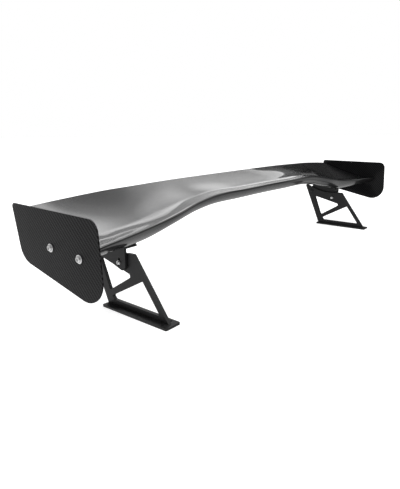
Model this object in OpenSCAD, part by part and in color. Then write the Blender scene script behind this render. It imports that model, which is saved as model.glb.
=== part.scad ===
// Racing rear wing: a hollow carbon wing on two cut-out pedestals, with a side
// plate at each tip. Both pedestals carry a rear pivot bolt and a front clamp
// bolt in an arc slot, so the whole wing tilts about one line across the car.
// Units are millimetres. +X points to the car's left, +Y to its rear, +Z up.
// Y is first measured from the middle of the base plates; place() then moves
// the model so that the origin lies under the middle of the whole part.

/* [Wing] */
// Span over the wing itself, without its side plates
span = 1696; // [1640:4:1720]
// Height of the trailing edge above the mounting face, at the centre
tail_height = 298.5; // [296:0.5:302]
// Distance of the straight trailing edge behind the middle of the base plates
tail_back = 185; // [183:1:188]
// Wall thickness of the two moulded skins
skin_wall = 1.6; // [1.2:0.1:2]

/* [Side plates] */
// Thickness of each side plate
side_plate_wall = 3; // [2:0.5:5]
// Distance between the two bolts of each side plate
side_bolt_pitch = 101.6; // [98:0.2:103]
// Radius of the washers under the side plate bolts
side_washer_r = 9.5; // [8:0.5:11]

/* [Pedestals] */
// Distance between the middle planes of the two pedestals
pedestal_spacing = 1308; // [1300:2:1320]
// Thickness of each pedestal plate
upright_wall = 10; // [8:0.5:11]
// Length of each base plate along the car
base_length = 234; // [230:1:250]
// Width of each base plate
base_width = 50; // [46:1:60]
// Thickness of each base plate
base_wall = 6; // [5:0.5:6]
// Distance between mounting holes, across the car
base_hole_x = 30; // [28:1:32]
// Distance between mounting holes, along the car
base_hole_y = 190; // [180:1:200]
// Radius of the mounting holes
base_hole_r = 3.3; // [2.7:0.1:4.3]

/* [Tilt] */
// Distance of the pivot behind the middle of the base plates
pivot_back = 162; // [160:0.5:164]
// Height of the pivot above the mounting face
pivot_height = 156; // [154:0.5:158]
// Distance from the pivot to the clamp bolt
clamp_reach = 110; // [109:0.5:111]
// Angle between neighbouring clamp holes in the pedestal, in degrees
clamp_step = 6.3; // [6:0.1:7]

/* [Hidden] */
$fn = 48;

half_span = span / 2;
tiny = 0.05;

carbon = [0.09, 0.09, 0.10];
anodised = [0.07, 0.07, 0.08];
steel = [0.75, 0.75, 0.77];
dark_steel = [0.15, 0.15, 0.16];
foam = [0.75, 0.68, 0.50];
rubber = [0.05, 0.05, 0.05];

// ---------- Wing loft ----------

// Sections from the centre to the tip: place along the half span (share of it),
// nose y, nose z, drop of the trailing edge, camber, thickness, nose fullness
sections = [
    [0.000, 20, 258.5, 0.0, 20.0, 32.0, 7.0],
    [0.177, 18, 258.5, 0.0, 20.0, 32.0, 7.5],
    [0.354, 10, 261.0, 0.5, 20.0, 32.0, 8.0],
    [0.472, 6, 251.0, 1.8, 21.5, 32.5, 9.0],
    [0.590, -5, 234.0, 3.9, 24.0, 33.0, 11.0],
    [0.708, -11, 220.5, 6.0, 32.0, 34.0, 16.0],
    [0.855, -33, 214.0, 12.5, 32.0, 33.0, 10.0],
    [0.932, -53, 215.0, 16.8, 31.0, 31.5, 6.5],
    [1.000, -77, 215.5, 21.5, 30.0, 30.0, 4.0]
];
last = len(sections) - 1;

function slope(i, col) =
    i == 0 ? 0 :
    let (a = sections[i - 1], b = sections[min(i + 1, last)])
    (b[col] - a[col]) / (b[0] - a[0]);

// Smooth value of one column at a share u of the half span
function along(u, col, i = 0) =
    i < last - 1 && u > sections[i + 1][0] ? along(u, col, i + 1) :
    let (a = sections[i], b = sections[i + 1], w = b[0] - a[0], t = (u - a[0]) / w)
    a[col] * (1 + 2 * t) * pow(1 - t, 2) + b[col] * t * t * (3 - 2 * t)
    + w * (slope(i, col) * t * pow(1 - t, 2) - slope(i + 1, col) * t * t * (1 - t));

// Half height of the trailing edge
tail_half = 1.2;
// Chord share of the deepest camber
camber_peak = 0.3;

function camber_shape(s) =
    s < camber_peak ?
    (2 * camber_peak * s - s * s) / pow(camber_peak, 2) :
    (1 - 2 * camber_peak + 2 * camber_peak * s - s * s) / pow(1 - camber_peak, 2);
function thickness_shape(s) =
    5 * (0.2969 * sqrt(s) - 0.126 * s - 0.3516 * pow(s, 2) + 0.2843 * pow(s, 3) - 0.1036 * pow(s, 4));
function fullness_shape(s) = sqrt(s) * pow(1 - s, 5) / 0.187;

// Chord shares of the section points, closer together at both ends
steps = 12;
share = [for (j = [0:steps]) (1 - cos(180 * j / steps)) / 2];

// Point [y, z] of a section at chord share s and height h above the chord line
function on_chord(u, s, h) =
    let (nose = [along(u, 1), along(u, 2)],
        tail = [tail_back, tail_height - along(u, 3)],
        chord = tail - nose,
        up = [-chord[1], chord[0]] / norm(chord))
    nose + chord * s + up * h;
function chord_length(u) =
    norm([tail_back - along(u, 1), tail_height - along(u, 3) - along(u, 2)]);

function middle(u, s) = -along(u, 4) * camber_shape(s) - along(u, 6) * fullness_shape(s) / 2;
function half_height(u, s) =
    along(u, 5) * thickness_shape(s) + along(u, 6) * fullness_shape(s) / 2 + tail_half * s;

// Outer surface (side 1 is the top, -1 the underside) and, one wall in, the inner surface
bond_gap = 0.1;
function outer(u, j, side) =
    let (s = max(share[j], 0.00002))
    on_chord(u, share[j], middle(u, s) + side * half_height(u, s));
function inner(u, j, side, wall) =
    let (s = max(share[j], 0.00002), shift = wall / chord_length(u))
    on_chord(u, shift + share[j] * (1 - shift),
        middle(u, s) + side * max(half_height(u, s) - wall, bond_gap));

// Loft through one closed outline per plane. Outlines run counter-clockwise seen
// from +X, out along one long side and back along the other, point facing point.
module loft(planes, outlines) {
    n = len(outlines[0]);
    m = len(planes);
    points = [for (i = [0:m - 1]) for (p = outlines[i]) [planes[i], p[0], p[1]]];
    sides = [for (i = [0:m - 2]) for (j = [0:n - 1])
        let (a = i * n + j, b = i * n + (j + 1) % n, c = b + n, d = a + n)
        each planes[i] < 0 ? [[a, d, b], [b, d, c]] : [[a, d, c], [a, c, b]]];
    first = [for (j = [0:n / 2 - 2]) each [[j, j + 1, n - 1 - j], [j + 1, n - 2 - j, n - 1 - j]]];
    end = [for (t = first) [for (k = [2:-1:0]) (m - 1) * n + t[k]]];
    polyhedron(points = points, faces = concat(first, sides, end), convexity = 12);
}

// Loft planes of one half of the wing, with one on each side of the hard points and end ribs
hardpoint_x = [620, 668];
end_rib_wall = 12;
half_planes = [60, 120, 180, 240, 300, 350, 400, 450, 500, 550, 585,
    hardpoint_x[0], hardpoint_x[1], 710, 755, 795, half_span - end_rib_wall, half_span];
wing_planes = concat([for (i = [len(half_planes) - 1:-1:0]) -half_planes[i]], [0], half_planes);
function u_of(x) = abs(x) / half_span;

module skin(side) {
    loft(wing_planes, [for (x = wing_planes) let (u = u_of(x))
        side > 0 ?
        concat([for (j = [0:steps]) inner(u, j, side, skin_wall)], [for (j = [steps:-1:0]) outer(u, j, side)]) :
        concat([for (j = [0:steps]) outer(u, j, side)], [for (j = [steps:-1:0]) inner(u, j, side, skin_wall)])]);
}

// Solid that fills the hollow of the wing between two section points
fill_gap = 0.6;
module filler(planes, from, to) {
    loft(planes, [for (x = planes) let (u = u_of(x), wall = skin_wall + fill_gap)
        concat([for (j = [from:to]) inner(u, j, -1, wall)], [for (j = [to:-1:from]) inner(u, j, 1, wall)])]);
}

module airfoil_upper_skin() {
    color(carbon) skin(1);
}

module airfoil_lower_skin() {
    color(carbon) skin(-1);
}

// Open channel whose web faces forward, from rib to rib
spar_from = 2;
spar_to = 4;
spar_wall = 2.4;
spar_planes = [for (x = wing_planes) if (abs(x) < half_span - end_rib_wall) x];
spar_end = half_span - end_rib_wall - 0.5;
module main_spar() {
    planes = concat([-spar_end], spar_planes, [spar_end]);
    outside = skin_wall + fill_gap;
    inside = outside + spar_wall;
    color(carbon) loft(planes, [for (x = planes) let (u = u_of(x), web = [spar_wall, 0])
        concat([for (j = [spar_to:-1:spar_from]) inner(u, j, 1, outside)],
            [for (j = [spar_from:spar_to]) inner(u, j, -1, outside)],
            [for (j = [spar_to:-1:spar_from]) inner(u, j, -1, inside) + (j == spar_from ? web : [0, 0])],
            [for (j = [spar_from:spar_to]) inner(u, j, 1, inside) + (j == spar_from ? web : [0, 0])])]);
}

// ---------- Side plates ----------

side_bolt_r = 3;
insert_r = 5;
side_insert_r = 4.2;
insert_length = 10;
// Front bolt of each side plate, and the slope of the line through both bolts
side_bolt_front = [-51.3, 204.6];
side_bolt_slope = 3.4;
side_bolts = [side_bolt_front,
    side_bolt_front + side_bolt_pitch * [cos(side_bolt_slope), sin(side_bolt_slope)]];
// Corners of the side plate [y, z, corner radius], from the rear top forwards
side_corners = [[197.7, 293, 9], [-113.8, 290.6, 26], [-124.5, 102.3, 56], [173.9, 162.7, 46]];

// Mirrors its children to the right for side -1; they are drawn on the left
module on_side(side) {
    mirror([side > 0 ? 0 : 1, 0, 0]) children();
}

// Turns a flat outline in [y, z] into a plate from x to x + wall
module plate(x, wall) {
    translate([x, 0, 0]) rotate([90, 0, 90]) linear_extrude(wall) children();
}

// Round bar along X
module bar(x, y, z, r, length) {
    translate([x, y, z]) rotate([0, 90, 0]) cylinder(r = r, h = length);
}

function unit(v) = v / norm(v);
function shortest(a) = a > 180 ? a - 360 : a < -180 ? a + 360 : a;

// Outline whose corners [y, z, radius] are rounded by arcs
function rounded(corners, n = 8) =
    let (count = len(corners))
    [for (i = [0:count - 1])
        let (p = [corners[i][0], corners[i][1]], r = corners[i][2],
            before = corners[(i + count - 1) % count], after = corners[(i + 1) % count],
            a = unit([before[0], before[1]] - p), b = unit([after[0], after[1]] - p),
            half = acos(max(-1, min(1, a * b))) / 2)
        each r == 0 ? [p] :
            let (c = p + unit(a + b) * r / sin(half),
                from = p + a * r / tan(half) - c, to = p + b * r / tan(half) - c,
                start = atan2(from[1], from[0]),
                turn = shortest(atan2(to[1], to[0]) - start))
            [for (k = [0:n]) c + r * [cos(start + turn * k / n), sin(start + turn * k / n)]]];

// Arc of radius r from p to q, both included, bulging below the straight line
function sagging_arc(p, q, r, n) =
    let (half = norm(q - p) / 2, tilt = atan2(q[1] - p[1], q[0] - p[0]),
        c = (p + q) / 2 + [-sin(tilt), cos(tilt)] * sqrt(r * r - half * half), a = asin(half / r))
    [for (k = [0:n]) let (t = tilt - 90 - a + 2 * a * k / n) c + r * [cos(t), sin(t)]];

side_outline = rounded(side_corners, 12);
// Middle of the whole part, measured back from the middle of the base plates
middle_back = (min([for (p = side_outline) p[0]]) + max([for (p = side_outline) p[0]])) / 2;

module endplate(side) {
    color(carbon) on_side(side) difference() {
        plate(half_span, side_plate_wall) polygon(side_outline);
        for (b = side_bolts)
            bar(half_span - 1, b[0], b[1], side_bolt_r + 0.3, side_plate_wall + 2);
    }
}

// Closing rib bonded into the wing tip, with bores for the two side plate inserts
rib_gap = 1.2;
rib_u = u_of(half_span - end_rib_wall / 2);
rib_outline = concat(
    [for (j = [2:steps - 3]) inner(rib_u, j, -1, skin_wall + rib_gap)],
    [for (j = [steps - 3:-1:2]) inner(rib_u, j, 1, skin_wall + rib_gap)]);
module end_rib(side) {
    color(foam) on_side(side) difference() {
        plate(half_span - end_rib_wall, end_rib_wall) polygon(rib_outline);
        for (b = side_bolts)
            bar(half_span - insert_length - 0.5, b[0], b[1], side_insert_r, insert_length + 2);
    }
}

module endplate_inserts() {
    color(steel)
        for (side = [1, -1])
            on_side(side)
                for (b = side_bolts)
                    difference() {
                        bar(half_span - insert_length, b[0], b[1], side_insert_r - tiny, insert_length);
                        bar(half_span - insert_length - 1, b[0], b[1], side_bolt_r + tiny, insert_length + 2);
                    }
}

side_washer_wall = 1.6;
side_plate_face = half_span + side_plate_wall;

module endplate_washers() {
    color(steel)
        for (side = [1, -1])
            on_side(side)
                for (b = side_bolts)
                    difference() {
                        bar(side_plate_face, b[0], b[1], side_washer_r, side_washer_wall);
                        bar(side_plate_face - 1, b[0], b[1], side_bolt_r + 0.2, side_washer_wall + 2);
                    }
}

// Button-head bolt along X: the head sits at x and points to +X, the shank runs to -X
module button_bolt(x, y, z, r, head_r, head_h, length) {
    translate([x, y, z]) rotate([0, 90, 0]) {
        difference() {
            union() {
                cylinder(r = head_r, h = head_h * 0.35);
                translate([0, 0, head_h * 0.35 - 0.01])
                    cylinder(r1 = head_r, r2 = head_r * 0.62, h = head_h * 0.65 + 0.01);
            }
            translate([0, 0, head_h * 0.45]) cylinder(r = r * 0.75, h = head_h, $fn = 6);
        }
        translate([0, 0, -length]) cylinder(r = r, h = length + 0.01);
    }
}

module endplate_bolts() {
    color(steel)
        for (side = [1, -1])
            on_side(side)
                for (b = side_bolts)
                    button_bolt(side_plate_face + side_washer_wall, b[0], b[1], side_bolt_r, 6.8, 4,
                        side_plate_wall + side_washer_wall + 9);
}

// ---------- Brackets under the wing ----------

pedestal_x = pedestal_spacing / 2;
upright_in = pedestal_x - upright_wall / 2;
upright_out = pedestal_x + upright_wall / 2;
spacer_wall = 1;
run_gap = 0.3;
tab_wall = 6;
tab_in = upright_out + spacer_wall + run_gap;
tab_out = tab_in + tab_wall;
pivot = [pivot_back, pivot_height];
pivot_r = 4;
clamp_r = 3;
// Direction from the pivot to the clamp bolt, in degrees
clamp_angle = 193;
function clamp_at(turn) = pivot + clamp_reach * [cos(clamp_angle + turn), sin(clamp_angle + turn)];
// Reach of the arc slot below and above the clamp bolt, in degrees
slot_low = 4;
slot_high = 5;
slot_half = clamp_r + 0.3;

// The flange follows the wing's underside on an arc
flange_front = [30, 173.2];
flange_rear = [124, 224.3];
flange_arc_r = 205;
flange_wall = 4;
flange_in = 625;
flange_steps = 14;
flange_top = sagging_arc(flange_front, flange_rear, flange_arc_r, flange_steps);
flange_tilt = atan2(flange_rear[1] - flange_front[1], flange_rear[0] - flange_front[0]);
flange_half = norm(flange_rear - flange_front) / 2;
flange_centre = (flange_front + flange_rear) / 2
    + [-sin(flange_tilt), cos(flange_tilt)] * sqrt(pow(flange_arc_r, 2) - pow(flange_half, 2));
flange_under = [for (p = flange_top) flange_centre + (p - flange_centre) * (1 + flange_wall / flange_arc_r)];

// Screws through the flange, as angles round the centre of its arc
screw_angles = [297, 306];
screw_r = 3;
screw_x = 637;

// Local frame on the flange's upper face whose +Z points into the wing
module bracket_axis(side, angle) {
    p = flange_centre + flange_arc_r * [cos(angle), sin(angle)];
    on_side(side) translate([screw_x, p[0], p[1]]) rotate([angle - 270, 0, 0]) children();
}

// Tab outline, from its front edge round the lug of the pivot to the middle of the flange
lug_r = 13;
tab_corners = concat(
    [[31, 122, 6], [43, 111, 8], [112, 135, 30]],
    [for (a = [-100:20:20]) [pivot[0] + lug_r * cos(a), pivot[1] + lug_r * sin(a), 0]],
    [[156, 190, 8]],
    [for (k = [flange_steps:-1:0])
        let (p = (flange_under[k] + flange_top[k]) / 2) [p[0], p[1], 0]]);

// Points on an arc, leaving out the given number at both ends
function arc_points(c, r, from, to, n, skip = 0) =
    [for (k = [skip:n - skip]) let (t = from + (to - from) * k / n) c + r * [cos(t), sin(t)]];

// Outline of the arc slot round the pivot
slot_from = clamp_angle - slot_high;
slot_to = clamp_angle + slot_low;
slot_outline = concat(
    arc_points(pivot, clamp_reach + slot_half, slot_from, slot_to, 12),
    arc_points(clamp_at(slot_low), slot_half, slot_to, slot_to + 180, 12, 1),
    arc_points(pivot, clamp_reach - slot_half, slot_to, slot_from, 12),
    arc_points(clamp_at(-slot_high), slot_half, slot_from + 180, slot_from + 360, 12, 1));

module bracket(side) {
    color(anodised) difference() {
        on_side(side) difference() {
            union() {
                plate(tab_in, tab_wall) difference() {
                    polygon(rounded(tab_corners));
                    polygon(slot_outline);
                }
                plate(flange_in, tab_out - flange_in)
                    polygon(concat(flange_under, [for (k = [flange_steps:-1:0]) flange_top[k]]));
            }
            bar(tab_in - 1, pivot[0], pivot[1], pivot_r + tiny, tab_wall + 2);
        }
        for (a = screw_angles)
            bracket_axis(side, a) translate([0, 0, -20]) cylinder(r = screw_r + 0.2, h = 40);
    }
}

// Pad between the flange and the wing, shaped to the underside, in a strip on each side of the screws
pad_gap = 1;
pad_inset = 3;
pad_steps = 8;
pad_strips = [[flange_in, screw_x - screw_r - 1.5], [screw_x + screw_r + 1.5, tab_out]];
pad_y = [for (k = [0:pad_steps])
    flange_front[0] + pad_inset + (flange_rear[0] - flange_front[0] - 2 * pad_inset) * k / pad_steps];
function wing_under(x, y) =
    let (t = (x - hardpoint_x[0]) / (hardpoint_x[1] - hardpoint_x[0]))
    lookup(y, [for (j = [2:steps - 1])
        outer(u_of(hardpoint_x[0]), j, -1) * (1 - t) + outer(u_of(hardpoint_x[1]), j, -1) * t]);
function flange_face(y) =
    flange_centre[1] - sqrt(pow(flange_arc_r, 2) - pow(y - flange_centre[0], 2));

module bracket_pad(side) {
    color(rubber)
        for (strip = pad_strips)
            loft(side > 0 ? strip : [-strip[1], -strip[0]],
                [for (x = side > 0 ? strip : [strip[1], strip[0]])
                    concat([for (y = pad_y) [y, flange_face(y) + 0.1]],
                        [for (k = [pad_steps:-1:0]) [pad_y[k], wing_under(x, pad_y[k]) - pad_gap]])]);
}

// Block bonded into the wing above each bracket, bored for two threaded inserts
module hardpoint(side) {
    planes = side > 0 ? hardpoint_x : [-hardpoint_x[1], -hardpoint_x[0]];
    color(foam) difference() {
        filler(planes, 5, 7);
        for (a = screw_angles)
            bracket_axis(side, a) translate([0, 0, -20]) cylinder(r = insert_r, h = 20 + insert_top);
    }
}

insert_low = 6;
insert_top = 18;
module bracket_inserts() {
    color(steel)
        for (side = [1, -1])
            for (a = screw_angles)
                bracket_axis(side, a) difference() {
                    translate([0, 0, insert_low]) cylinder(r = insert_r - tiny, h = insert_top - insert_low);
                    translate([0, 0, insert_low - 1]) cylinder(r = screw_r + tiny, h = insert_top);
                }
}

module bracket_screws() {
    color(dark_steel)
        for (side = [1, -1])
            for (a = screw_angles)
                bracket_axis(side, a) {
                    difference() {
                        translate([0, 0, -flange_wall - 3.5]) cylinder(r1 = 3.6, r2 = 5.2, h = 3.5);
                        translate([0, 0, -flange_wall - 4]) cylinder(r = 2.2, h = 2.2, $fn = 6);
                    }
                    translate([0, 0, -flange_wall - 0.01]) cylinder(r = screw_r, h = flange_wall + insert_top - 3);
                }
}

// ---------- Pedestals ----------

// Outline of the pedestal plate and of its two openings, as [y, z, corner radius]
saddle = sagging_arc([28, 157], [180, 184.1], 243, 12);
upright_corners = concat(
    [[-106, base_wall, 0], [116, base_wall, 0], [198, 194.2, 6]],
    [for (k = [12:-1:0]) [saddle[k][0], saddle[k][1], 0]],
    [[8, 157.5, 3]]);
upper_opening = [[14, 101.5, 6], [106, 44, 4], [141, 132.5, 5]];
lower_opening = [[-21, 95.5, 3], [-78, 20, 4], [90, 20, 5], [98.5, 29.5, 4]];
base_screw_y = [-84, 0, 84];
base_screw_r = 2.5;
base_screw_top = 17;

module upright(side) {
    color(anodised) on_side(side) difference() {
        plate(upright_in, upright_wall) difference() {
            polygon(rounded(upright_corners));
            polygon(rounded(upper_opening));
            polygon(rounded(lower_opening));
        }
        bar(upright_in - 1, pivot[0], pivot[1], pivot_r + tiny, upright_wall + 2);
        for (k = [-1, 0, 1])
            bar(upright_in - 1, clamp_at(k * clamp_step)[0], clamp_at(k * clamp_step)[1],
                clamp_r + 0.2, upright_wall + 2);
        for (y = base_screw_y)
            translate([pedestal_x, y, base_wall - 1])
                cylinder(r = base_screw_r + tiny, h = base_screw_top - base_wall + 1.5);
    }
}

base_corner_r = 4;
screw_head_r = 5.5;
screw_head_h = 3;
module base_plate(side) {
    half = [base_width / 2, base_length / 2];
    color(anodised) on_side(side) translate([pedestal_x, 0, 0]) difference() {
        linear_extrude(base_wall) polygon(rounded([for (c = [[-1, -1], [1, -1], [1, 1], [-1, 1]])
            [c[0] * half[0], c[1] * half[1], base_corner_r]]));
        for (x = [-1, 1])
            for (y = [-1, 1])
                translate([x * base_hole_x / 2, y * base_hole_y / 2, -1])
                    cylinder(r = base_hole_r, h = base_wall + 2);
        for (y = base_screw_y)
            translate([0, y, 0]) {
                translate([0, 0, -1]) cylinder(r = base_screw_r + 0.2, h = base_wall + 2);
                translate([0, 0, -0.01])
                    cylinder(r1 = screw_head_r + 0.2, r2 = base_screw_r + 0.2, h = screw_head_h + 0.2);
            }
    }
}

module base_screws() {
    color(dark_steel)
        for (side = [1, -1])
            for (y = base_screw_y)
                on_side(side) translate([pedestal_x, y, 0]) {
                    difference() {
                        translate([0, 0, 0.2]) cylinder(r1 = screw_head_r, r2 = base_screw_r, h = screw_head_h);
                        cylinder(r = 1.8, h = 2, $fn = 6);
                    }
                    translate([0, 0, 2.5]) cylinder(r = base_screw_r, h = base_screw_top - 2.5);
                }
}

// ---------- Pivot and clamp fasteners ----------

pivot_washer = [8, 1.6];
pivot_nut = [7.5, 6.5];
clamp_washer = [6, 1.2];
clamp_nut = [5.8, 5];

// Washer of [radius, thickness] round a hole of radius r, its inner face at x
module washer(x, at, size, r) {
    difference() {
        bar(x, at[0], at[1], size[0], size[1]);
        bar(x - 1, at[0], at[1], r + 0.2, size[1] + 2);
    }
}

// Hexagon nut of [corner radius, height] whose outboard face is at x
module nut(x, at, size, r) {
    difference() {
        translate([x - size[1], at[0], at[1]]) rotate([0, 90, 0]) cylinder(r = size[0], h = size[1], $fn = 6);
        bar(x - size[1] - 1, at[0], at[1], r + tiny, size[1] + 2);
    }
}

module fastener_bolt(at, r, washer_size, nut_size, head_r, head_h) {
    head = tab_out + run_gap + washer_size[1];
    tail = upright_in - washer_size[1] - nut_size[1] - 1.5;
    button_bolt(head, at[0], at[1], r, head_r, head_h, head - tail);
}

module washer_pair(at, size, r) {
    washer(tab_out + run_gap, at, size, r);
    washer(upright_in - size[1], at, size, r);
}

module pivot_bolts() {
    color(dark_steel)
        for (side = [1, -1])
            on_side(side) fastener_bolt(pivot, pivot_r, pivot_washer, pivot_nut, 7, 4.4);
}

module pivot_washers() {
    color(dark_steel)
        for (side = [1, -1])
            on_side(side) washer_pair(pivot, pivot_washer, pivot_r);
}

module pivot_nuts() {
    color(dark_steel)
        for (side = [1, -1])
            on_side(side) nut(upright_in - pivot_washer[1], pivot, pivot_nut, pivot_r);
}

module spacer_washers() {
    color(rubber)
        for (side = [1, -1])
            on_side(side) {
                washer(upright_out, pivot, [pivot_washer[0], spacer_wall], pivot_r);
                washer(upright_out, clamp_at(0), [clamp_washer[0], spacer_wall], clamp_r);
            }
}

module clamp_bolts() {
    color(steel)
        for (side = [1, -1])
            on_side(side) fastener_bolt(clamp_at(0), clamp_r, clamp_washer, clamp_nut, 5.2, 3.3);
}

module clamp_washers() {
    color(steel)
        for (side = [1, -1])
            on_side(side) washer_pair(clamp_at(0), clamp_washer, clamp_r);
}

module clamp_nuts() {
    color(steel)
        for (side = [1, -1])
            on_side(side) nut(upright_in - clamp_washer[1], clamp_at(0), clamp_nut, clamp_r);
}

// ---------- Assembly ----------

module place() {
    translate([0, -middle_back, 0]) children();
}

place() airfoil_upper_skin();
place() airfoil_lower_skin();
place() main_spar();
place() end_rib(1);  // end_rib_left
place() end_rib(-1);  // end_rib_right
place() hardpoint(1);  // hardpoint_left
place() hardpoint(-1);  // hardpoint_right
place() bracket_inserts();
place() endplate_inserts();
place() endplate(1);  // endplate_left
place() endplate(-1);  // endplate_right
place() endplate_washers();
place() endplate_bolts();
place() bracket(1);  // bracket_left
place() bracket(-1);  // bracket_right
place() bracket_pad(1);  // bracket_pad_left
place() bracket_pad(-1);  // bracket_pad_right
place() bracket_screws();
place() upright(1);  // upright_left
place() upright(-1);  // upright_right
place() base_plate(1);  // base_plate_left
place() base_plate(-1);  // base_plate_right
place() base_screws();
place() pivot_bolts();
place() pivot_washers();
place() pivot_nuts();
place() spacer_washers();
place() clamp_bolts();
place() clamp_washers();
place() clamp_nuts();
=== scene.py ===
import math

import bmesh
import bpy
from mathutils import Matrix, Vector


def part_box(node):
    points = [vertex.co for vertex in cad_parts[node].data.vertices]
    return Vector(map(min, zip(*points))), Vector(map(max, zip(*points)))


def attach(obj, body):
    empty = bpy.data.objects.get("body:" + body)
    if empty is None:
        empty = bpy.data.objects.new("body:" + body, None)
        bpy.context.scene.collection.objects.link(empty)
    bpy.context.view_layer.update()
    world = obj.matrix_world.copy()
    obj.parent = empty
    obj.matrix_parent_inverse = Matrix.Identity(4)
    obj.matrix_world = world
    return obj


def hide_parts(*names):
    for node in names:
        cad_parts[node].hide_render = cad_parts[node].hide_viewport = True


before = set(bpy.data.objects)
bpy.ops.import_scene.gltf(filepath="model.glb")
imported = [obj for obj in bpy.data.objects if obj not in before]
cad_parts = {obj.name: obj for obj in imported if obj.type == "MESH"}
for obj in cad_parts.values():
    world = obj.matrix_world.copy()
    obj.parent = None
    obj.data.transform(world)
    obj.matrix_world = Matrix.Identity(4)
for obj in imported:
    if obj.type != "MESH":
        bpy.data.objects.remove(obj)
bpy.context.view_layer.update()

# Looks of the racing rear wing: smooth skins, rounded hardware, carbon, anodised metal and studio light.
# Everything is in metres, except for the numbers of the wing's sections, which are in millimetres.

MM = 0.001

# ---------- Places, from the CAD frame ----------


def middle_of(node):
    low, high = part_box(node)
    return (low + high) / 2


HALF_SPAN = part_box("airfoil_upper_skin")[1].x
# The wing's sections are given from the middle of the base plates
SHIFT_Y = middle_of("base_plate_left").y

# ---------- Wing sections (the same loft as the CAD model, in millimetres) ----------

TAIL_BACK = 185.0
TAIL_HEIGHT = 298.5
TAIL_HALF = 1.2
CAMBER_PEAK = 0.3
# Highest value of the curve that rounds the nose
FULLNESS_PEAK = 0.187
SKIN_WALL = 1.6
# Half the glue line between the two skins
BOND_GAP = 0.1

SHARE, NOSE_Y, NOSE_Z, TAIL_DROP, CAMBER, THICKNESS, FULLNESS = range(7)
# Share of the half span, nose y, nose z, drop of the trailing edge, camber, thickness, nose fullness
SECTIONS = [
    (0.000, 20, 258.5, 0.0, 20.0, 32.0, 7.0),
    (0.177, 18, 258.5, 0.0, 20.0, 32.0, 7.5),
    (0.354, 10, 261.0, 0.5, 20.0, 32.0, 8.0),
    (0.472, 6, 251.0, 1.8, 21.5, 32.5, 9.0),
    (0.590, -5, 234.0, 3.9, 24.0, 33.0, 11.0),
    (0.708, -11, 220.5, 6.0, 32.0, 34.0, 16.0),
    (0.855, -33, 214.0, 12.5, 32.0, 33.0, 10.0),
    (0.932, -53, 215.0, 16.8, 31.0, 31.5, 6.5),
    (1.000, -77, 215.5, 21.5, 30.0, 30.0, 4.0),
]


def slope(i, col):
    """Slope of one column at a section, from its neighbours; flat at the centre."""
    if i == 0:
        return 0.0
    a, b = SECTIONS[i - 1], SECTIONS[min(i + 1, len(SECTIONS) - 1)]
    return (b[col] - a[col]) / (b[SHARE] - a[SHARE])


def along(u, col):
    """Smooth value of one column at share u of the half span."""
    i = max(k for k in range(len(SECTIONS) - 1) if u >= SECTIONS[k][SHARE])
    a, b = SECTIONS[i], SECTIONS[i + 1]
    w = b[SHARE] - a[SHARE]
    t = (u - a[SHARE]) / w
    ends = a[col] * (1 + 2 * t) * (1 - t) ** 2 + b[col] * t * t * (3 - 2 * t)
    return ends + w * (slope(i, col) * t * (1 - t) ** 2 - slope(i + 1, col) * t * t * (1 - t))


def camber_shape(s):
    """Depth of the mean line at chord share s, which is 1 at CAMBER_PEAK."""
    if s < CAMBER_PEAK:
        return (2 * CAMBER_PEAK * s - s * s) / CAMBER_PEAK ** 2
    return (1 - 2 * CAMBER_PEAK + 2 * CAMBER_PEAK * s - s * s) / (1 - CAMBER_PEAK) ** 2


def thickness_shape(s):
    """Half thickness of a wing section that is 1 thick and closes to a point at its tail."""
    return 5 * (0.2969 * math.sqrt(s) - 0.126 * s - 0.3516 * s ** 2 + 0.2843 * s ** 3 - 0.1036 * s ** 4)


def fullness_shape(s):
    """A swelling close behind the nose, scaled so that it reaches 1."""
    return math.sqrt(s) * (1 - s) ** 5 / FULLNESS_PEAK


class Section:
    """One section of the wing, at share u of the half span."""

    def __init__(self, u):
        self.nose = Vector((along(u, NOSE_Y), along(u, NOSE_Z)))
        self.chord = Vector((TAIL_BACK, TAIL_HEIGHT - along(u, TAIL_DROP))) - self.nose
        self.normal = Vector((-self.chord.y, self.chord.x)).normalized()
        self.camber = along(u, CAMBER)
        self.thickness = along(u, THICKNESS)
        self.fullness = along(u, FULLNESS)

    def point(self, s, side, depth=0.0):
        """Point (y, z) at chord share s, depth inside the surface of the top (side 1) or underside (-1)."""
        bulge = self.fullness * fullness_shape(s) / 2
        middle = -self.camber * camber_shape(s) - bulge
        half = self.thickness * thickness_shape(s) + bulge + TAIL_HALF * s
        if depth:
            shift = depth / self.chord.length
            s = shift + s * (1 - shift)
            half = max(half - depth, BOND_GAP)
        return self.nose + self.chord * s + self.normal * (middle + side * half)


# ---------- Mesh helpers ----------

scene = bpy.context.scene
shelf = scene.collection


def new_piece(name, mesh, material, body, node):
    """Adds a mesh as a piece that rides on a body and stands for a CAD node."""
    piece = bpy.data.objects.new(name, mesh)
    shelf.objects.link(piece)
    mesh.materials.append(material)
    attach(piece, body)
    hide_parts(node)


def finish_mesh(bm, name, sharp_degrees):
    """Turns a bmesh into a smooth mesh whose edges stay sharp above an angle."""
    bmesh.ops.recalc_face_normals(bm, faces=bm.faces)
    mesh = bpy.data.meshes.new(name)
    bm.to_mesh(mesh)
    bm.free()
    mesh.shade_smooth()
    mesh.set_sharp_from_angle(angle=math.radians(sharp_degrees))
    return mesh


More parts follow.
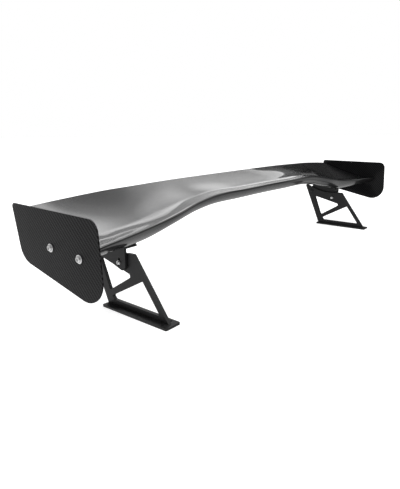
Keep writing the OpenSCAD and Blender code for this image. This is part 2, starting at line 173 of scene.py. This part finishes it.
def grid_shell(name, rings, uv_rings, sharp_degrees):
    """Closed shell from equal closed rings of points, with capped ends and a UV in metres."""
    bm = bmesh.new()
    uv = bm.loops.layers.uv.new("weave")
    verts = [[bm.verts.new(p) for p in ring] for ring in rings]
    count = len(rings[0])
    where = {}
    for ring, uvs in zip(verts, uv_rings):
        for vert, place in zip(ring, uvs):
            where[vert] = place
    for a, b in zip(verts, verts[1:]):
        for j in range(count):
            k = (j + 1) % count
            bm.faces.new((a[j], b[j], b[k], a[k]))
    half = count // 2
    for ring in (verts[0], verts[-1]):
        for j in range(half - 1):
            bm.faces.new((ring[j], ring[j + 1], ring[count - 2 - j], ring[count - 1 - j]))
    for face in bm.faces:
        for loop in face.loops:
            loop[uv].uv = where[loop.vert]
    return finish_mesh(bm, name, sharp_degrees)


def lathe(bm, rings, where, closed=False):
    """Joins rings of points, given in the local frame where, into a surface."""
    verts = [[bm.verts.new(where @ Vector(p)) for p in ring] for ring in rings]
    pairs = list(zip(verts, verts[1:]))
    if closed:
        pairs.append((verts[-1], verts[0]))
    count = len(rings[0])
    for a, b in pairs:
        for j in range(count):
            k = (j + 1) % count
            bm.faces.new((a[j], a[k], b[k], b[j]))
    if not closed:
        bm.faces.new(verts[0][::-1])
        bm.faces.new(verts[-1])


SEGMENTS = 48
# Angles of the points of a ring, and a sixth of a turn, in radians
ROUND = [2 * math.pi * k / SEGMENTS for k in range(SEGMENTS)]
SIXTH = math.pi / 3


def circle(r, z):
    return [(r * math.cos(a), r * math.sin(a), z) for a in ROUND]


def hexagon(r, z, limit=math.inf):
    """Ring along a hexagon whose flats are r from its axis; limit rounds its corners to that radius."""
    ring = []
    for a in ROUND:
        reach = min(r / math.cos((a + SIXTH / 2) % SIXTH - SIXTH / 2), limit)
        ring.append((reach * math.cos(a), reach * math.sin(a), z))
    return ring


def along_x(place, out):
    """Local frame at a place whose +Z points out along +X (out 1) or -X (out -1)."""
    turn = Matrix.Rotation(math.radians(90 * out), 4, "Y")
    return Matrix.Translation(place) @ turn


# Softening of the rims of screw heads, and at most of the edges of washers
HEAD_SOFT = 0.3 * MM
WASHER_SOFT = 0.4 * MM
# Distance from a screw's axis to the flats of its socket, as a share of the head's radius
SOCKET_SHARE = 0.52
DOME_STEPS = 7


def button_bolt(bm, where, r, head_r, head_h, length):
    """Domed screw head with a hexagon socket, on a shank that ends in a chamfer."""
    chamfer = 0.2 * r
    socket = SOCKET_SHARE * head_r
    socket_wall = 0.97 * socket
    crown_r = 1.32 * socket
    skirt = 0.22 * head_h
    rings = [circle(r - chamfer, -length), circle(r, chamfer - length), circle(r, 0),
             circle(head_r - HEAD_SOFT, 0), circle(head_r, HEAD_SOFT)]
    for i in range(DOME_STEPS + 1):
        t = math.pi / 2 * i / DOME_STEPS
        rings.append(circle(crown_r + (head_r - crown_r) * math.cos(t),
                            skirt + (head_h - skirt) * math.sin(t)))
    rings += [hexagon(socket, head_h), hexagon(socket_wall, head_h - HEAD_SOFT),
              hexagon(socket_wall, 0.45 * head_h), hexagon(0.5 * socket, 0.38 * head_h)]
    lathe(bm, rings, where)


def washer(bm, where, inside, outside, wall):
    """Flat washer with softened outer edges."""
    soft = min(0.25 * wall, WASHER_SOFT)
    corner = 0.3 * soft
    edge = [(outside - soft, 0), (outside - corner, corner), (outside, soft)]
    far_edge = [(r, wall - z) for r, z in reversed(edge)]
    profile = [(inside, 0)] + edge + far_edge + [(inside, wall)]
    lathe(bm, [circle(r, z) for r, z in profile], where, closed=True)


def lock_nut(bm, where, bore, flat, height):
    """Hexagon nut with chamfered corners and a round collar, bored through."""
    corner = flat / math.cos(SIXTH / 2)
    rings = [circle(bore, 0), circle(0.93 * flat, 0), hexagon(flat, 0.07 * height, 0.94 * corner),
             hexagon(flat, 0.14 * height), hexagon(flat, 0.58 * height),
             hexagon(flat, 0.66 * height, 0.93 * corner), circle(0.9 * flat, 0.72 * height),
             circle(0.86 * flat, 0.93 * height), circle(0.76 * flat, height), circle(bore, height)]
    lathe(bm, rings, where, closed=True)


def loose_parts(node):
    """Boxes of the separate solids of a CAD node, as (low, high) pairs."""
    bm = bmesh.new()
    bm.from_mesh(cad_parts[node].data)
    bmesh.ops.remove_doubles(bm, verts=bm.verts, dist=1e-6)
    seen, boxes = set(), []
    for start in bm.verts:
        if start in seen:
            continue
        stack, found = [start], []
        seen.add(start)
        while stack:
            vert = stack.pop()
            found.append(vert.co.copy())
            for edge in vert.link_edges:
                other = edge.other_vert(vert)
                if other not in seen:
                    seen.add(other)
                    stack.append(other)
        boxes.append((Vector(map(min, *found)), Vector(map(max, *found))))
    bm.free()
    return boxes


# ---------- Material helpers ----------

class Nodes:
    """Short calls that build a node tree."""

    def __init__(self, name):
        self.material = bpy.data.materials.new(name)
        self.material.use_nodes = True
        self.tree = self.material.node_tree
        self.shader = self.tree.nodes["Principled BSDF"]

    def add(self, kind, **settings):
        node = self.tree.nodes.new(kind)
        for key, value in settings.items():
            setattr(node, key, value)
        return node

    def put(self, value, socket):
        """Links a socket's output, or sets a constant on the socket itself."""
        if isinstance(value, bpy.types.NodeSocket):
            self.tree.links.new(value, socket)
        else:
            socket.default_value = value

    def maths(self, operation, *values):
        node = self.add("ShaderNodeMath", operation=operation)
        for value, socket in zip(values, node.inputs):
            self.put(value, socket)
        return node.outputs[0]

    def mapped(self, value, low, high, to_low, to_high):
        """Smooth step from to_low to to_high while the value runs from low to high."""
        node = self.add("ShaderNodeMapRange", interpolation_type="SMOOTHSTEP")
        for v, socket in zip((value, low, high, to_low, to_high), node.inputs):
            self.put(v, socket)
        return node.outputs[0]

    def noise(self, scale, detail, rough=0.55):
        node = self.add("ShaderNodeTexNoise")
        self.put(self.place(), node.inputs["Vector"])
        node.inputs["Scale"].default_value = scale
        node.inputs["Detail"].default_value = detail
        node.inputs["Roughness"].default_value = rough
        return node.outputs["Fac"]

    def place(self):
        return self.add("ShaderNodeTexCoord").outputs["Object"]

    def mix(self, share, a, b):
        node = self.add("ShaderNodeMix", data_type="RGBA")
        self.put(share, node.inputs["Factor"])
        self.put(a, node.inputs["A"])
        self.put(b, node.inputs["B"])
        return node.outputs["Result"]

    def bump(self, height, strength, distance):
        node = self.add("ShaderNodeBump")
        node.inputs["Strength"].default_value = strength
        node.inputs["Distance"].default_value = distance
        self.put(height, node.inputs["Height"])
        return node.outputs["Normal"]

    def split(self, vector):
        node = self.add("ShaderNodeSeparateXYZ")
        self.put(vector, node.inputs[0])
        return node.outputs

    def set(self, **values):
        """Sets or links the shader's sockets; an underscore stands for a space in a socket's name."""
        for key, value in values.items():
            self.put(value, self.shader.inputs[key.replace("_", " ")])


def grey(v, blue=1.0):
    return (v, v, v * blue, 1.0)


# The twill repeats after four tows, and steps 0 and 1 of the repeat lie on top
TWILL_REPEAT = 4.0
TWILL_OVER = 1.5


def twill(nodes, across, up, tow):
    """2x2 twill: which tow lies on top (0 or 1) and the height of its crown."""
    i = nodes.maths("DIVIDE", across, tow)
    j = nodes.maths("DIVIDE", up, tow)
    column = nodes.maths("FLOOR", i)
    row = nodes.maths("FLOOR", j)
    step = nodes.maths("FLOORED_MODULO", nodes.maths("ADD", column, row), TWILL_REPEAT)
    on_top = nodes.maths("LESS_THAN", step, TWILL_OVER)
    crown_i = nodes.maths("SINE", nodes.maths("MULTIPLY", nodes.maths("FRACT", i), math.pi))
    crown_j = nodes.maths("SINE", nodes.maths("MULTIPLY", nodes.maths("FRACT", j), math.pi))
    lifted = nodes.maths("MULTIPLY", on_top, crown_i)
    lower = nodes.maths("MULTIPLY", nodes.maths("SUBTRACT", 1.0, on_top), crown_j)
    return on_top, nodes.maths("ADD", lifted, lower)


def carbon(name, lay, tow, light, dark, weave_bump=0.25, gloss=0.3, sheen=(0.8, 0.4), coat=1.0, line=None):
    """Clear-coated twill.

    lay builds the two coordinates, in metres, in which the cloth is laid, and tow is the width of one tow.
    light and dark are the tones of the tows that lie either way: the twill's pattern, and also painted
    sheen, since the difference stands in for the fibres' reflection, which changes with each tow's
    direction. sheen is the metallic share and the specular level of the fibres. line is the place and half
    width of a dull mould line, in metres along the second coordinate.
    """
    nodes = Nodes(name)
    across, up = lay(nodes)
    on_top, crown = twill(nodes, across, up, tow)
    fibre = nodes.noise(scale=900.0, detail=2.0)
    patch = nodes.noise(scale=9.0, detail=3.0)
    # The two tow tones are the twill's pattern and partly painted sheen, standing in for the fibres'
    # reflection by direction
    tone = nodes.mix(on_top, grey(dark, 1.06), grey(light, 1.08))
    tone = nodes.mix(nodes.maths("MULTIPLY", crown, 0.35), grey(dark * 0.55), tone)
    tone = nodes.mix(nodes.mapped(patch, 0.35, 0.7, 0.0, 0.18), tone, grey(dark * 0.7, 1.1))
    shine = coat
    if line:
        at, half_width = line
        away = nodes.maths("ABSOLUTE", nodes.maths("SUBTRACT", up, at))
        clear = nodes.mapped(away, 0.5 * half_width, half_width, 0.12, 1.0)
        tone = nodes.mix(clear, grey(dark * 0.3), tone)
        shine = nodes.maths("MULTIPLY", clear, coat)
    nodes.set(Base_Color=tone, Metallic=sheen[0], Specular_IOR_Level=sheen[1])
    nodes.set(Roughness=nodes.maths("MULTIPLY_ADD", fibre, 0.18, gloss))
    nodes.set(Normal=nodes.bump(crown, weave_bump, distance=0.3 * MM))
    nodes.set(Coat_Weight=shine, Coat_IOR=1.5, Coat_Roughness=0.02)
    ripple = nodes.noise(scale=35.0, detail=2.0)
    nodes.set(Coat_Normal=nodes.bump(ripple, strength=0.02, distance=0.6 * MM))
    return nodes.material


def span_and_girth(nodes):
    """The skins' cloth: along the span, and round the section from the nose."""
    parts = nodes.split(nodes.add("ShaderNodeUVMap", uv_map="weave").outputs["UV"])
    return parts[0], parts[1]


def plate_diagonal(nodes):
    """The side plates' cloth, laid so that its ribs run down towards the front."""
    parts = nodes.split(nodes.place())
    return parts[1], nodes.maths("MULTIPLY", parts[2], -1.0)


def satin_black(name, tone, rough, speckle=0.35):
    """Black anodised or oxidised metal with fine grain and faint smudges."""
    nodes = Nodes(name)
    grain = nodes.noise(scale=1400.0, detail=2.0)
    smudge = nodes.noise(scale=26.0, detail=4.0)
    share = nodes.mapped(smudge, 0.4, 0.75, 0.0, 0.5)
    nodes.set(Base_Color=nodes.mix(share, grey(tone, 1.04), grey(tone * 1.7, 1.02)))
    nodes.set(Metallic=0.3, Specular_IOR_Level=0.3)
    nodes.set(Roughness=nodes.maths("MULTIPLY_ADD", smudge, 0.12, rough))
    nodes.set(Normal=nodes.bump(grain, speckle, distance=0.08 * MM))
    return nodes.material


def bright_steel(name, tone, rough):
    """Stainless steel with fine turning marks and light stains."""
    nodes = Nodes(name)
    marks = nodes.noise(scale=2200.0, detail=2.0)
    stains = nodes.noise(scale=160.0, detail=3.0)
    share = nodes.mapped(stains, 0.4, 0.7, 0.0, 0.4)
    nodes.set(Base_Color=nodes.mix(share, grey(tone), grey(tone * 0.78)), Metallic=1.0)
    nodes.set(Roughness=nodes.maths("MULTIPLY_ADD", marks, 0.18, rough))
    nodes.set(Normal=nodes.bump(marks, strength=0.12, distance=0.04 * MM))
    return nodes.material


def soft_matter(name, colour, darker, scale, rough, bump):
    """Foam or rubber: mottled, pitted and dull."""
    nodes = Nodes(name)
    cells = nodes.noise(scale, detail=5.0, rough=0.7)
    nodes.set(Base_Color=nodes.mix(nodes.mapped(cells, 0.35, 0.65, 0.0, 1.0), darker, colour))
    nodes.set(Roughness=nodes.maths("MULTIPLY_ADD", cells, 0.1, rough))
    nodes.set(Normal=nodes.bump(cells, bump, distance=0.4 * MM))
    return nodes.material


WING_TOW = 2.1 * MM
PLATE_TOW = 2.7 * MM
NOSE_SEAM = (0.0, 1.4 * MM)  # where the two skins meet

# The light and dark tow tones below are partly painted sheen, with the strongest contrast on the side
# plates
wing_carbon = carbon("wing_carbon", span_and_girth, WING_TOW, light=0.038, dark=0.022, line=NOSE_SEAM)
plate_carbon = carbon("plate_carbon", plate_diagonal, PLATE_TOW, light=0.062, dark=0.0015,
                      weave_bump=0.5, gloss=0.34, sheen=(0.3, 0.05), coat=0.12)
inner_carbon = carbon("inner_carbon", plate_diagonal, WING_TOW, light=0.05, dark=0.03, gloss=0.5)
black_metal = satin_black("satin_black_metal", tone=0.012, rough=0.36)
black_screw = satin_black("black_oxide", tone=0.022, rough=0.42, speckle=0.2)
steel = bright_steel("bright_steel", tone=0.78, rough=0.2)
foam = soft_matter("foam_core", (0.62, 0.52, 0.33, 1), (0.45, 0.36, 0.2, 1), scale=900.0, rough=0.8,
                   bump=0.5)
rubber = soft_matter("pad_rubber", grey(0.03), grey(0.018), scale=1500.0, rough=0.7, bump=0.2)

# ---------- Wing skins ----------

STATIONS = 120
CHORD_STEPS = 56
SKIN_SHARP = 30


def skin(name, side, node):
    """One moulded skin: outer surface, inner surface, and rims at the nose, the tail and both tips."""
    rings, uvs = [], []
    shares = [(1 - math.cos(math.pi * j / CHORD_STEPS)) / 2 for j in range(CHORD_STEPS + 1)]
    for i in range(-STATIONS, STATIONS + 1):
        x = HALF_SPAN * i / STATIONS
        section = Section(abs(i) / STATIONS)
        outside = [section.point(s, side) for s in shares]
        inside = [section.point(s, side, SKIN_WALL) for s in shares]
        girth = [0.0]
        for a, b in zip(outside, outside[1:]):
            girth.append(girth[-1] + (b - a).length * MM)
        rings.append([(x, p.x * MM + SHIFT_Y, p.y * MM) for p in outside + inside[::-1]])
        uvs.append([(x, side * g) for g in girth + girth[::-1]])
    new_piece(name, grid_shell(name, rings, uvs, SKIN_SHARP), wing_carbon, "wing", node)


skin("airfoil_upper_skin_smooth", 1, "airfoil_upper_skin")
skin("airfoil_lower_skin_smooth", -1, "airfoil_lower_skin")

# ---------- Fasteners ----------

HARDWARE_SHARP = 40


def hardware(name, node, material, body, build):
    """One piece per CAD node of fasteners; build is called with the mesh and each solid's box."""
    bm = bmesh.new()
    for low, high in loose_parts(node):
        build(bm, low, high)
    new_piece(name, finish_mesh(bm, name, HARDWARE_SHARP), material, body, node)


def outboard(low, high):
    """Which way is outboard for a solid, 1 or -1, and the middle of its outboard face."""
    centre = (low + high) / 2
    out = 1 if centre.x > 0 else -1
    return out, Vector((high.x if out > 0 else low.x, centre.y, centre.z))


def bolt(r, head_h):
    def build(bm, low, high):
        out, face = outboard(low, high)
        seat = face - Vector((out * head_h, 0, 0))
        length = high.x - low.x - head_h
        button_bolt(bm, along_x(seat, out), r, (high.z - low.z) / 2, head_h, length)
    return build


def flat_washer(inside):
    def build(bm, low, high):
        centre = (low + high) / 2
        place = Vector((low.x, centre.y, centre.z))
        washer(bm, along_x(place, 1), inside, (high.z - low.z) / 2, high.x - low.x)
    return build


def nut(bore):
    def build(bm, low, high):
        out, face = outboard(low, high)
        flat = min(high.y - low.y, high.z - low.z) / 2
        lock_nut(bm, along_x(face, -out), bore, flat, high.x - low.x)
    return build


hardware("endplate_button_bolts", "endplate_bolts", steel, "wing", bolt(r=3 * MM, head_h=4 * MM))
hardware("endplate_washer_set", "endplate_washers", steel, "wing", flat_washer(inside=3.2 * MM))
hardware("pivot_button_bolts", "pivot_bolts", black_screw, "pedestals", bolt(r=4 * MM, head_h=4.4 * MM))
hardware("pivot_washer_set", "pivot_washers", black_screw, "pedestals", flat_washer(inside=4.2 * MM))
hardware("pivot_lock_nuts", "pivot_nuts", black_screw, "pedestals", nut(bore=4.05 * MM))
hardware("clamp_button_bolts", "clamp_bolts", steel, "pedestals", bolt(r=3 * MM, head_h=3.3 * MM))
hardware("clamp_washer_set", "clamp_washers", steel, "pedestals", flat_washer(inside=3.2 * MM))
hardware("clamp_lock_nuts", "clamp_nuts", steel, "pedestals", nut(bore=3.05 * MM))

# ---------- CAD nodes that keep their shape ----------

SIDES = ("left", "right")
# Nodes that come as a left and a right one: their finish, and how far their edges are softened, in
# millimetres, where 0 leaves them as they are
PAIRS = {
    "endplate": (plate_carbon, 0.4),
    "upright": (black_metal, 0.7),
    "base_plate": (black_metal, 0.6),
    "bracket": (black_metal, 0.5),
    "end_rib": (foam, 0),
    "hardpoint": (foam, 0),
    "bracket_pad": (rubber, 0),
}
SINGLES = {
    "main_spar": inner_carbon,
    "bracket_inserts": steel,
    "endplate_inserts": steel,
    "bracket_screws": black_screw,
    "base_screws": black_screw,
    "spacer_washers": rubber,
}


def set_finish(part, finish):
    if not part.material_slots:
        part.data.materials.append(finish)
    for slot in part.material_slots:
        slot.material = finish


def soften_edges(part, width):
    weld = part.modifiers.new("weld", "WELD")
    weld.merge_threshold = 1e-6
    bevel = part.modifiers.new("soft_edges", "BEVEL")
    bevel.width = width
    bevel.segments = 2
    bevel.limit_method = "ANGLE"
    bevel.angle_limit = math.radians(50)
    bevel.harden_normals = True


for node, finish in SINGLES.items():
    set_finish(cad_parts[node], finish)
for stem, (finish, width) in PAIRS.items():
    for side in SIDES:
        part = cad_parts[f"{stem}_{side}"]
        set_finish(part, finish)
        if width:
            soften_edges(part, width * MM)

# ---------- Studio ----------

# Floor and surrounding wall of white paper. Shiny surfaces mirror only the sky with its soft light, as in a
# studio whose paper is kept out of the reflections.
FLOOR_REACH = 24.0
FLOOR_DROP = 0.2 * MM
WALL_HEIGHT = 16.0
WALL_FOOT = -0.01
WALL_SIDES = 64
turns = [2 * math.pi * k / WALL_SIDES for k in range(WALL_SIDES)]
rim = [(FLOOR_REACH * math.cos(t), FLOOR_REACH * math.sin(t)) for t in turns]


def paper(name, tone, rough, glow):
    nodes = Nodes(name)
    nodes.set(Base_Color=grey(tone), Roughness=rough, Specular_IOR_Level=0.0)
    nodes.set(Emission_Color=grey(1.0), Emission_Strength=glow)
    return nodes.material


def studio_part(name, points, faces, material):
    mesh = bpy.data.meshes.new(name)
    mesh.from_pydata(points, [], faces)
    mesh.materials.append(material)
    part = bpy.data.objects.new(name, mesh)
    shelf.objects.link(part)
    part.visible_glossy = False
    return part


floor = studio_part("studio_floor", [(x, y, 0) for x, y in rim], [tuple(range(WALL_SIDES))],
                    paper("paper", tone=0.5, rough=0.9, glow=0.72))
floor.location.z = -FLOOR_DROP

wall_faces = []
for k in range(WALL_SIDES):
    after = (k + 1) % WALL_SIDES
    wall_faces.append((k, after, WALL_SIDES + after, WALL_SIDES + k))
studio_part("studio_wall", [(x, y, z) for z in (WALL_FOOT, WALL_HEIGHT) for x, y in rim], wall_faces,
            paper("wall_paper", tone=0.0, rough=1.0, glow=1.0))

lamp_data = bpy.data.lights.new("overhead_softbox", "AREA")
lamp_data.shape = "DISK"
lamp_data.size = 5.0
lamp_data.energy = 170.0
lamp = bpy.data.objects.new("overhead_softbox", lamp_data)
lamp.location = (0, 0, 4.0)
lamp.visible_glossy = False
lamp.visible_camera = False
shelf.objects.link(lamp)

# ---------- Sky, which shiny surfaces mirror ----------

world = bpy.data.worlds.new("studio_sky")
scene.world = world
world.use_nodes = True
sky = world.node_tree
background = sky.nodes["Background"]

# Each list runs round the horizon as (bearing, value). Bearings are in degrees, from the car's rear (0)
# to its left (90) and its front (180). Values are light levels, but EDGE is an elevation in degrees.
SOFT_LIGHT = [(-180, 0.4), (-120, 0.6), (-60, 0.3), (0, 0.4), (30, 1.0), (41, 2.2), (50, 2.3), (62, 2.3),
              (66.3, 1.7), (67.5, 0.9), (100, 0.9), (115, 2.6), (145, 2.6), (160, 0.6), (180, 0.4)]
# Lower edge of the soft light
EDGE = [(-180, 15), (0, 15), (30, 27), (41, 28), (46, 32), (50, 33), (52.5, 26), (57, 15), (64, 11),
        (65.8, 13), (66.8, 30), (105, 30), (115, 20), (150, 15), (180, 15)]
# Dimmer wall below that edge, and the foot of the wall
WALL_LIGHT = [(-180, 0.2), (0, 0.3), (30, 0.35), (38, 0.45), (50, 0.85), (56, 0.75), (60, 0.5), (65, 0.35),
              (67, 0.0), (110, 0.0), (150, 0.2), (180, 0.2)]
LOW_LIGHT = [(-180, 0.2), (0, 0.3), (30, 0.35), (38, 0.45), (50, 0.85), (56, 0.75), (60, 0.5), (65, 0.3),
             (69, 0.16), (75, 0.14), (110, 0.1), (150, 0.2), (180, 0.2)]
CEILING_LIGHT = [(-180, 0.5), (0, 0.6), (30, 2.0), (40, 3.3), (51, 3.6), (54, 2.3), (57, 1.2), (66, 0.7),
                 (80, 0.7), (105, 0.9), (120, 2.0), (145, 2.0), (165, 0.6), (180, 0.5)]
FLOOR_LIGHT = [(-180, 1.0), (-10, 1.0), (30, 0.5), (150, 0.45), (180, 1.0)]

# Elevations, in degrees, between which one zone passes into the next
FLOOR_TO_WALL = (-2.5, -1.0)
FOOT_TO_WALL = (6, 9)
EDGE_BLUR = (-1.0, 1.0)
LIGHT_TO_CEILING = (30, 37)
# The soft light fades upwards from its lower edge, to this share of itself over so many degrees
FADE_TO = 0.45
FADE_OVER = 9


def sky_node(kind, *values, **settings):
    """Adds a node; values go to its inputs in order, as links or as constants."""
    node = sky.nodes.new(kind)
    for key, value in settings.items():
        setattr(node, key, value)
    for value, socket in zip(values, node.inputs):
        if isinstance(value, bpy.types.NodeSocket):
            sky.links.new(value, socket)
        else:
            socket.default_value = value
    return node.outputs[0]


def sky_maths(operation, *values):
    return sky_node("ShaderNodeMath", *values, operation=operation)


direction = sky_node("ShaderNodeTexCoord").node.outputs["Generated"]
leftward, rearward, upward = sky_node("ShaderNodeSeparateXYZ", direction).node.outputs
bearing = sky_maths("ARCTAN2", leftward, rearward)
height = sky_maths("ARCSINE", upward)
# The bearing as a share of one turn, from 0 at -180 degrees to 1 at 180
turn = sky_maths("MULTIPLY_ADD", bearing, 0.5 / math.pi, 0.5)


def round_about(stops, scale=1.0):
    """Value at the bearing, straight between the stops."""
    output = sky_node("ShaderNodeValToRGB", turn)
    ramp = output.node.color_ramp
    while len(ramp.elements) < len(stops):
        ramp.elements.new(0.5)
    for element, (degrees, amount) in zip(ramp.elements, stops):
        element.position = (degrees + 180) / 360
        element.color = (amount * scale, amount * scale, amount * scale, 1)
    return output


def sky_step(value, low, high):
    """Smooth step from 0 to 1 between two elevations in degrees."""
    return sky_node("ShaderNodeMapRange", value, math.radians(low), math.radians(high), 0.0, 1.0,
                    interpolation_type="SMOOTHSTEP")


def sky_blend(share, a, b):
    rest = sky_maths("SUBTRACT", 1.0, share)
    return sky_maths("ADD", sky_maths("MULTIPLY", share, b), sky_maths("MULTIPLY", rest, a))


# The ramp holds the edge as a share of a right angle
edge_height = sky_maths("MULTIPLY", round_about(EDGE, 1 / 90), math.pi / 2)
lift = sky_maths("SUBTRACT", height, edge_height)
fading = sky_node("ShaderNodeMapRange", lift, 0.0, math.radians(FADE_OVER), 1.0, FADE_TO)
light = sky_maths("MULTIPLY", round_about(SOFT_LIGHT), fading)
light = sky_blend(sky_step(height, *LIGHT_TO_CEILING), light, round_about(CEILING_LIGHT))
wall = sky_blend(sky_step(height, *FOOT_TO_WALL), round_about(LOW_LIGHT), round_about(WALL_LIGHT))
above = sky_blend(sky_step(lift, *EDGE_BLUR), wall, light)
whole = sky_blend(sky_step(height, *FLOOR_TO_WALL), round_about(FLOOR_LIGHT), above)
sky.links.new(whole, background.inputs["Color"])
background.inputs["Strength"].default_value = 1.0

# ---------- Camera ----------

EYE = (-1.32144, -0.75148, 0.45319)  # measured from the middle of the base plates, as the sections are
VIEW_AZIMUTH = 50.41  # the line of sight, turned from +Y towards +X
VIEW_PITCH = 15.19  # below the horizon
VIEW_ROLL = -0.34
LENS = 31.35
azimuth = math.radians(VIEW_AZIMUTH)
pitch = math.radians(VIEW_PITCH)
sight = Vector((math.sin(azimuth) * math.cos(pitch), math.cos(azimuth) * math.cos(pitch), -math.sin(pitch)))
camera_data = bpy.data.cameras.new("camera")
camera_data.lens = LENS
camera_data.sensor_width = 36.0
camera_data.clip_end = 200.0
camera = bpy.data.objects.new("camera", camera_data)
shelf.objects.link(camera)
camera.matrix_world = (Matrix.Translation(Vector(EYE) + Vector((0, SHIFT_Y, 0)))
                       @ sight.to_track_quat("-Z", "Y").to_matrix().to_4x4()
                       @ Matrix.Rotation(math.radians(VIEW_ROLL), 4, "Z"))
scene.camera = camera
scene.view_settings.view_transform = "Standard"
